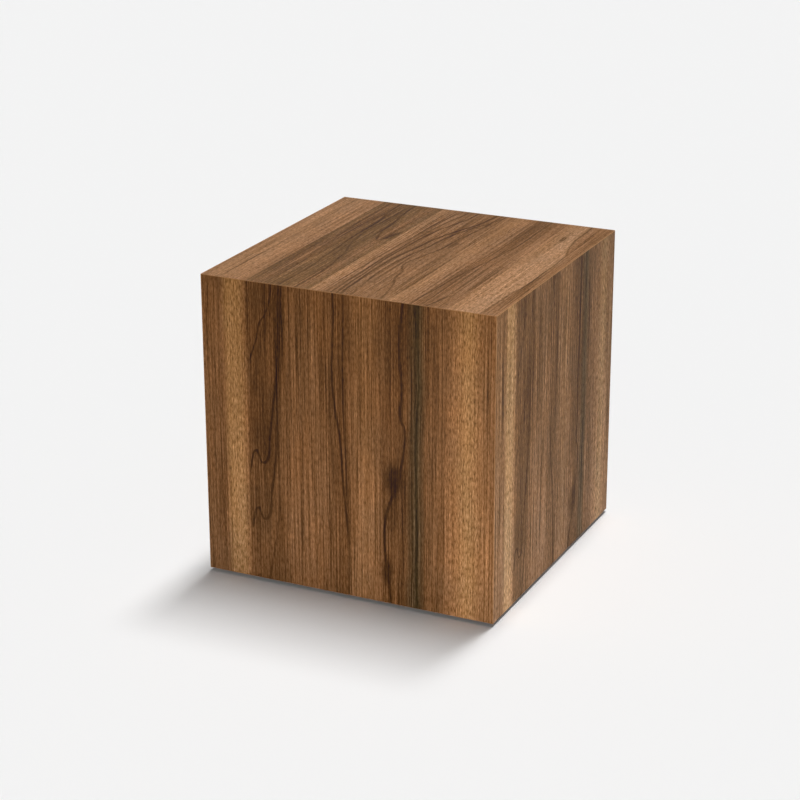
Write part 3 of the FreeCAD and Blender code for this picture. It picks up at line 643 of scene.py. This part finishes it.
def all_finishes():
    """Every finish by its name. The leaves of one flitch are slid along from face to face."""
    return {
        "right_side": leaf_material("walnut_right_side", "side", "X", 1, "Z", -1, 0.0, 0.3),
        # the back and top carry painted reflection: tint, veil and a deeper sheen shade for the reflection
        # those faces show; the back's gloss is lowered, with its reflection painted in instead
        "back": leaf_material("walnut_back", "side", "Y", 1, "Z", -1, 0.26, 5.1, strength=1.6,
                              gloss=0.05, painted_sheen_shade=0.012, tint=(1.15, 1.37, 1.80), painted_reflection_veil=0.15),
        "left_side": leaf_material("walnut_left_side", "side", "X", -1, "Z", -1, 0.52, 9.7),
        "door": leaf_material("walnut_door", "side", "Y", -1, "Z", -1, 0.78, 14.2),
        # painted reflection on the top: tint, veil and a deeper sheen shade
        "top": leaf_material("walnut_top", "top", "X", 1, "Y", -1, 0.0, 20.4,
                             painted_sheen_shade=0.012, tint=(1.02, 1.15, 1.45), painted_reflection_veil=0.15),
        "bottom": leaf_material("walnut_bottom", "top", "X", 1, "Y", 1, 0.3, 27.5),
        "upright_lining": plain_walnut("walnut_lining_upright", "X", "Z", LINING, 31.0),
        "back_lining": plain_walnut("walnut_lining_back", "Y", "Z", LINING, 35.0),
        "flat_lining": plain_walnut("walnut_lining_flat", "X", "Y", LINING, 39.0),
        "upright_edging": plain_walnut("walnut_edging_upright", "Y", "Z", EDGING, 43.0),
        "level_edging": plain_walnut("walnut_edging_level", "Z", "Y", EDGING, 47.0),
        "fibreboard": speckled("fibreboard", paint(158, 128, 98), 0.85, 900, contrast=0.35, bump=0.4),
        "plywood": speckled("birch_plywood", paint(214, 184, 140), 0.7, 400, (1, 1, 8), 0.3),
        "black_lacquer": speckled("black_lacquer", (0.012, 0.012, 0.012), 0.55, 700, contrast=0.3),
        "grey_plastic": speckled("grey_plastic", (0.16, 0.16, 0.165), 0.5, 1500, contrast=0.12),
        "black_plastic": speckled("black_plastic", (0.02, 0.02, 0.02), 0.6, 1500, contrast=0.2),
        "nickel": speckled("nickel", (0.62, 0.61, 0.58), 0.3, 800, contrast=0.1, metallic=1.0),
        "spring_steel": speckled("spring_steel", (0.45, 0.45, 0.46), 0.4, 900,
                                 contrast=0.15, metallic=1.0),
        "brass": speckled("satin_brass", (0.62, 0.45, 0.20), 0.35, 500, (1, 0.08, 1), 0.18,
                          metallic=1.0),
        "zinc": speckled("zinc_steel", (0.55, 0.56, 0.58), 0.38, 700, contrast=0.2, metallic=1.0),
    }


# the first word that a node's name holds gives its finish
HARDWARE_FINISHES = (
    ("_core", "fibreboard"), ("splines", "plywood"), ("base_strip", "black_lacquer"),
    ("latch_housing", "grey_plastic"), ("latch_plunger", "grey_plastic"),
    ("foot_sole", "black_plastic"), ("magnet", "nickel"), ("spring", "spring_steel"),
    ("pin", "spring_steel"), ("inserts", "brass"), ("leaf", "brass"), ("washer", "brass"),
    ("screws", "zinc"), ("strike", "zinc"), ("foot_stud", "zinc"))


def finish_name(node):
    """Which finish a carried-over CAD node takes."""
    board = node.rsplit("_", 2)[0]
    if node.endswith("outer_veneer"):
        return board
    if node.endswith("inner_veneer"):
        return {"back": "back_lining", "door": "back_lining",
                "top": "flat_lining", "bottom": "flat_lining"}.get(board, "upright_lining")
    if "lipping" in node:
        level = node in ("top_lipping", "bottom_lipping", "door_lipping_top", "door_lipping_bottom")
        return "level_edging" if level else "upright_edging"
    return next(finish for word, finish in HARDWARE_FINISHES if word in node)


# ============================================================== modelled pieces
VENEER = 0.6 * MM
ARRIS_ROUND = 0.5 * MM      # radius to which the cube's sanded arrises are eased
DOOR_ROUND = ARRIS_ROUND / 2
FACET_TURNS = (22.5, 45.0)  # one sheet's half of a rounding, in degrees from its face
SMOOTH_ANGLE = 30
FACING = 0.9                # a face whose normal agrees this well with a side belongs to it
PLANE_TOLERANCE = 1e-7


def editing(obj):
    bpy.context.view_layer.objects.active = obj
    bpy.ops.object.mode_set(mode="EDIT")
    bpy.ops.mesh.select_mode(type="FACE")


def settle(obj):
    """Leaves a finished piece at the origin with its place in its mesh, normals outwards."""
    editing(obj)
    bpy.ops.mesh.select_all(action="SELECT")
    bpy.ops.mesh.normals_make_consistent(inside=False)
    bpy.ops.object.mode_set(mode="OBJECT")
    bpy.ops.object.select_all(action="DESELECT")
    obj.select_set(True)
    bpy.ops.object.transform_apply(location=True, rotation=True, scale=True)
    bpy.ops.object.shade_smooth_by_angle(angle=math.radians(SMOOTH_ANGLE))
    obj.select_set(False)


def block(name, low, high):
    centre, size = (low + high) / 2, high - low
    bpy.ops.mesh.primitive_cube_add(size=1, location=centre, scale=size)
    obj = bpy.context.object
    obj.name = obj.data.name = name
    bpy.ops.object.transform_apply(location=True, rotation=True, scale=True)
    return obj


def taper_inner_face(obj, outward, squares):
    """Mitres a sheet: draws its inner face in by one veneer at every edge that meets another."""
    for face in obj.data.polygons:
        face.select = face.normal.dot(outward) < -FACING
    low, high = (Vector(corner) for corner in (obj.bound_box[0], obj.bound_box[6]))
    pivot, factor = (low + high) / 2, [1.0, 1.0, 1.0]
    for axis in range(3):
        if abs(outward[axis]) > 0.5:
            continue
        span = high[axis] - low[axis]
        square = next((side for side in squares if abs(side[axis]) > 0.5), None)
        if square is not None:
            pivot[axis] = high[axis] if square[axis] > 0 else low[axis]
        factor[axis] = 1 - (VENEER if square is not None else 2 * VENEER) / span
    editing(obj)
    bpy.ops.transform.resize(value=factor, center_override=pivot)
    bpy.ops.object.mode_set(mode="OBJECT")


def ease_arris(obj, corner, outward, beside, radius):
    """Planes one sheet's half of the rounding at an arris, in two facets."""
    middle = corner - (outward + beside) * radius
    for degrees in FACET_TURNS:
        turn = math.radians(degrees)
        facing = outward * math.cos(turn) + beside * math.sin(turn)
        editing(obj)
        bpy.ops.mesh.select_all(action="SELECT")
        bpy.ops.mesh.bisect(plane_co=middle + facing * radius, plane_no=facing,
                            use_fill=True, clear_outer=True, threshold=PLANE_TOLERANCE)
        bpy.ops.object.mode_set(mode="OBJECT")


X, Y, Z = Vector((1, 0, 0)), Vector((0, 1, 0)), Vector((0, 0, 1))
SHEETS = (
    # board, outward side, square edges, edges that are eased
    ("right_side", -Y, (-X,), (X, Z, -Z)),
    ("left_side", Y, (-X,), (X, Z, -Z)),
    ("back", X, (), (Y, -Y, Z, -Z)),
    ("top", Z, (-X,), (X, Y, -Y)),
    ("bottom", -Z, (-X,), (X, Y, -Y)),
)


def make_sheet(board, outward, squares, eased, body="cabinet", mitred=True):
    """One face veneer, eased at its arrises, and mitred to its neighbours on the cube."""
    node = f"{board}_outer_veneer"
    low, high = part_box(node)
    sheet = block(f"{board}_face_veneer", low, high)
    if mitred:
        taper_inner_face(sheet, outward, squares)
    for beside in eased:
        corner = Vector([high[i] if (outward + beside)[i] > 0 else low[i] for i in range(3)])
        ease_arris(sheet, corner, outward, beside, ARRIS_ROUND if mitred else DOOR_ROUND)
    settle(sheet)
    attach(sheet, body)
    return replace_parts(sheet, node)


SPRING_WIRE = 0.45 * MM     # radius of the spring's wire
SPRING_TURNS = 9
WIRE_SIDES, TURN_STEPS = 12, 28


def make_spring():
    """The latch's compression spring, wound from round wire."""
    low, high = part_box("latch_spring")
    axis = Vector((low.x, (low.y + high.y) / 2, (low.z + high.z) / 2))
    coil_radius = (high.y - low.y) / 2 - SPRING_WIRE
    start = axis + Vector((SPRING_WIRE, coil_radius, 0))
    bpy.ops.mesh.primitive_circle_add(vertices=WIRE_SIDES, radius=SPRING_WIRE, fill_type="NOTHING",
                                      location=start)
    spring = bpy.context.object
    spring.name = spring.data.name = "latch_coil_spring"
    bpy.context.scene.cursor.location = axis
    bpy.ops.object.origin_set(type="ORIGIN_CURSOR")
    screw = spring.modifiers.new("winding", "SCREW")
    screw.axis = "X"
    screw.angle = math.tau
    screw.screw_offset = (high.x - low.x - 2 * SPRING_WIRE) / SPRING_TURNS
    screw.iterations = SPRING_TURNS
    screw.steps = screw.render_steps = TURN_STEPS
    bpy.ops.object.modifier_apply(modifier=screw.name)
    editing(spring)
    bpy.ops.mesh.select_all(action="SELECT")
    bpy.ops.mesh.fill_holes(sides=0)
    bpy.ops.object.mode_set(mode="OBJECT")
    settle(spring)
    bpy.context.scene.cursor.location = (0, 0, 0)
    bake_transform(spring)
    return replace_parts(spring, "latch_spring")


def model_pieces(finishes):
    for board, outward, squares, eased in SHEETS:
        make_sheet(board, outward, squares, eased).data.materials.append(finishes[board])
    door = make_sheet("door", -X, (), (Y, -Y, Z, -Z), body="door", mitred=False)
    door.data.materials.append(finishes["door"])
    make_spring().data.materials.append(finishes["spring_steel"])


# ============================================================ studio and camera
FLOOR_SIZE, FLOOR_WHITE = 60, 0.9
VIEW_END = 100.0
CAMERA_AZIMUTH, CAMERA_ELEVATION, CAMERA_ROLL = 25.36, 20.40, -0.15     # degrees
CAMERA_LENS, SENSOR_WIDTH = 101.27, 36.0     # millimetres
CAMERA_PLACE = Vector((2.925, -6.281, 3.068))   # in cube edges from the middle of its underside


def direction(azimuth, elevation):
    """Unit vector towards a place seen from the cube; azimuth 0 is -Y and 90 is +X."""
    a, e = math.radians(azimuth), math.radians(elevation)
    return Vector((math.sin(a) * math.cos(e), -math.cos(a) * math.cos(e), math.sin(e)))


def make_camera():
    """Long-lens view from the front right, a little above."""
    data = bpy.data.cameras.new("camera")
    data.lens = CAMERA_LENS
    data.sensor_width = SENSOR_WIDTH
    data.clip_end = VIEW_END
    camera = bpy.data.objects.new("camera", data)
    bpy.context.scene.collection.objects.link(camera)
    turn = (Matrix.Rotation(math.radians(CAMERA_AZIMUTH), 4, "Z")
            @ Matrix.Rotation(math.radians(90 - CAMERA_ELEVATION), 4, "X")
            @ Matrix.Rotation(math.radians(CAMERA_ROLL), 4, "Z"))
    place = Vector((0, 0, BODY_LOW.z)) + CAMERA_PLACE * EDGE
    camera.matrix_world = Matrix.Translation(place) @ turn
    bpy.context.scene.camera = camera


def make_floor():
    bpy.ops.mesh.primitive_plane_add(size=FLOOR_SIZE, location=(0, 0, FLOOR_Z))
    floor = bpy.context.object
    floor.name = "studio_floor"
    material, r, shader = new_material("studio_white")
    shader.inputs["Base Color"].default_value = (FLOOR_WHITE, FLOOR_WHITE, FLOOR_WHITE, 1)
    shader.inputs["Roughness"].default_value = 1.0
    shader.inputs["Specular IOR Level"].default_value = 0.0
    floor.data.materials.append(material)
    return floor


def add_lamp(name, kind, energy, spread):
    """A light of one size: degrees across for a sun, metres across for a soft box."""
    data = bpy.data.lights.new(name, kind)
    data.energy = energy
    if kind == "SUN":
        data.angle = math.radians(spread)
    else:
        data.shape, data.size = "DISK", spread
    lamp = bpy.data.objects.new(name, data)
    bpy.context.scene.collection.objects.link(lamp)
    lamp.rotation_mode = "QUATERNION"
    lamp.visible_camera = False
    return lamp


def add_sun(name, azimuth, elevation, strength, spread):
    sun = add_lamp(name, "SUN", strength, spread)
    sun.rotation_quaternion = (-direction(azimuth, elevation)).to_track_quat("-Z", "Y")
    return sun


def add_soft_box(name, azimuth, elevation, distance, power, size):
    """A round soft box facing the middle of the cube; distance and size in cube edges."""
    box = add_lamp(name, "AREA", power, size * EDGE)
    towards = direction(azimuth, elevation)
    box.location = (BODY_LOW + BODY_HIGH) / 2 + towards * distance * EDGE
    box.rotation_quaternion = (-towards).to_track_quat("-Z", "Y")
    return box


SKY, HORIZON = 0.06, 0.90      # brightness overhead and along the horizon
SKY_START, SKY_FULL = 0.02, 0.16
KEY_AZIMUTH, KEY_HEIGHTS = 174, (66, 73, 80, 87)
KEY_STRENGTH, KEY_SPREAD = 0.69, 9
WASH_STRENGTH, WASH_SPREAD = 0.27, 5


def make_world():
    """A white studio: bright at the horizon, quieter above."""
    world = bpy.data.worlds.new("studio")
    bpy.context.scene.world = world
    world.use_nodes = True
    r = Recipe(world.node_tree)
    up = r.add("SeparateXYZ", {0: r.add("TexCoord").outputs["Generated"]}).outputs["Z"]
    level = r.between(up, SKY_START, SKY_FULL, HORIZON, SKY, smooth=True)
    background = world.node_tree.nodes["Background"]
    background.inputs["Color"].default_value = (1, 1, 1, 1)
    world.node_tree.links.new(level, background.inputs["Strength"])


def gather(name, things):
    group = bpy.data.collections.new(name)
    for thing in things:
        group.objects.link(thing)
    return group


def make_light(floor):
    """A tall strip of key light high behind, which alone throws a shadow, and soft fills."""
    make_world()
    for height in KEY_HEIGHTS:
        add_sun(f"key_{height}", KEY_AZIMUTH, height, KEY_STRENGTH, KEY_SPREAD)
    floor_only = gather("floor_only", [floor])
    wash = add_sun("floor_wash", 0, 90, WASH_STRENGTH, WASH_SPREAD)
    wash.light_linking.receiver_collection = floor_only
    wash.light_linking.blocker_collection = floor_only
    lit = gather("lit_by_fills", [thing for thing in bpy.context.scene.objects
                                  if thing.type == "MESH" and thing != floor])
    for fill in (add_soft_box("fill_corner", 54, 2, 3.6, 21.0, 1.0),
                 add_soft_box("fill_low", 0, -10, 2.0, 1.3, 0.5),
                 add_sun("fill_top", 0, 88, 2.45, 20),
                 add_sun("fill_back", 225, 18, 0.25, 50)):
        fill.light_linking.receiver_collection = lit


def dress_frame(finishes):
    for name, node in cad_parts.items():
        node.data.materials.clear()
        node.data.materials.append(finishes[finish_name(name)])


bpy.context.scene.view_settings.view_transform = "Standard"
bpy.ops.object.select_all(action="DESELECT")
finishes = all_finishes()
dress_frame(finishes)
model_pieces(finishes)
make_camera()
make_light(make_floor())
